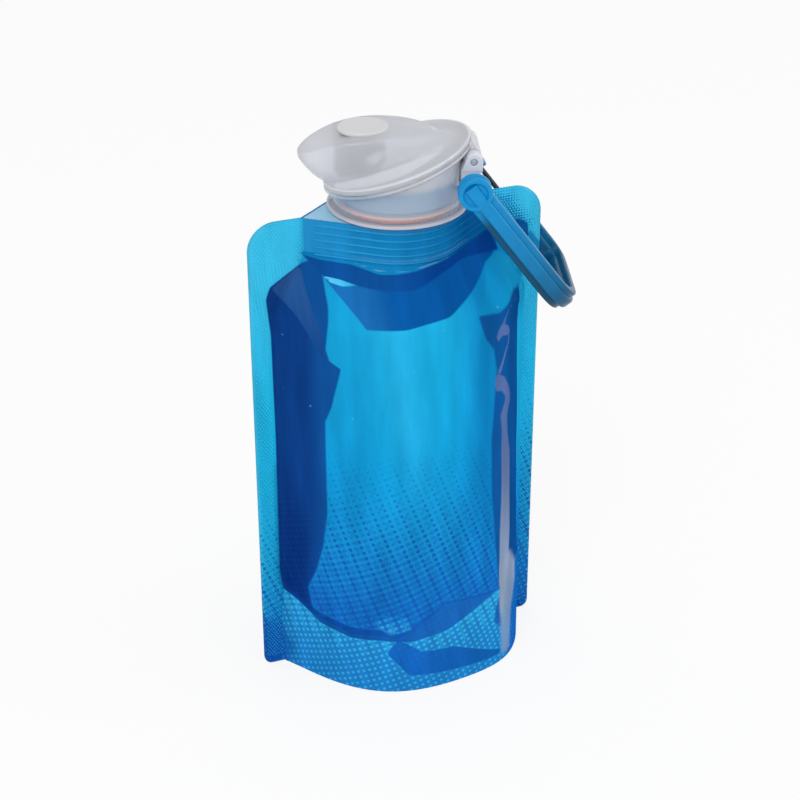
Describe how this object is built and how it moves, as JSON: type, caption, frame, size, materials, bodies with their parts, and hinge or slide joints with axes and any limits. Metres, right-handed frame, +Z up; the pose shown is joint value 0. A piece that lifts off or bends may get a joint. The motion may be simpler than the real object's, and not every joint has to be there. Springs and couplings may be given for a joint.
{
  "type": "collapsible water bottle",
  "caption": "Stand-up film pouch bottle with a screw cap, slanted flip lid over a drinking tube, orange gasket and a swinging wire-gate carabiner.",
  "frame": {"origin": "middle of the base, on the surface the pouch stands on", "axes": "+Z up; +X along the pouch's width, towards the carabiner; -Y out of the front film; the cap's own parts are turned -18 degrees about +Z"},
  "size_m": [0.0976, 0.0638, 0.1724],
  "materials": {
    "film": "clear blue film, glossy",
    "film_back": "clear blue film, glossy",
    "film_base": "clear blue film, glossy",
    "frosted_fitment": "frosted translucent moulding",
    "frosted_cap": "frosted translucent moulding",
    "frosted_lid": "frosted translucent moulding",
    "mouthpiece_plastic": "satin",
    "disc_plastic": "satin",
    "plug_silicone": "matt silicone",
    "orange_silicone": "matt silicone",
    "blue_plastic": "glossy moulding",
    "hinge_steel": "plain steel pin",
    "rivet_steel": "plain steel pin",
    "black_wire": "black coated spring wire"
  },
  "bodies": {
    "pouch": {"front_panel": "film", "back_panel": "film_back", "base_gusset": "film_base", "spout_fitment": "frosted_fitment"},
    "seal": {"neck_gasket": "orange_silicone"},
    "cap": {"cap_body": "frosted_cap", "mouthpiece": "mouthpiece_plastic", "hinge_pin": "hinge_steel"},
    "flip_lid": {"lid": "frosted_lid", "lid_disc": "disc_plastic", "lid_plug": "plug_silicone"},
    "carabiner": {"carabiner_frame": "blue_plastic", "gate_rivet": "rivet_steel"},
    "gate": {"gate_wire": "black_wire"}
  },
  "joints": [
    {"name": "cap_lift", "type": "slide", "parent": "pouch", "child": "seal", "axis": [0, 0, 1], "range_m": [0, 0.008]},
    {"name": "cap_turn", "type": "hinge", "parent": "seal", "child": "cap", "pos_m": [0, 0, 0.15], "axis": [0, 0, 1], "range_deg": [0, 720], "deforming": ["front_panel", "back_panel"]},
    {"name": "lid_flip", "type": "hinge", "parent": "cap", "child": "flip_lid", "pos_m": [0.01978, -0.00643, 0.1642], "axis": [0.309, 0.9511, 0], "range_deg": [0, 110]},
    {"name": "carabiner_swing", "type": "hinge", "parent": "cap", "child": "carabiner", "pos_m": [0.01934, -0.00681, 0.1586], "axis": [-0.309, -0.9511, 0], "range_deg": [0, 90]},
    {"name": "gate_open", "type": "hinge", "parent": "carabiner", "child": "gate", "pos_m": [0.02773, 0.00887, 0.15445], "axis": [-0.7595, 0.2468, -0.6018], "range_deg": [0, 25], "stiffness_Nm_per_rad": 0.02, "springref_deg": -11.46, "deforming": ["front_panel", "back_panel"]}
  ],
  "couplings": [
    {"joint": "cap_lift", "follows": "cap_turn", "m_per_rad": 0.00063662}
  ]
}
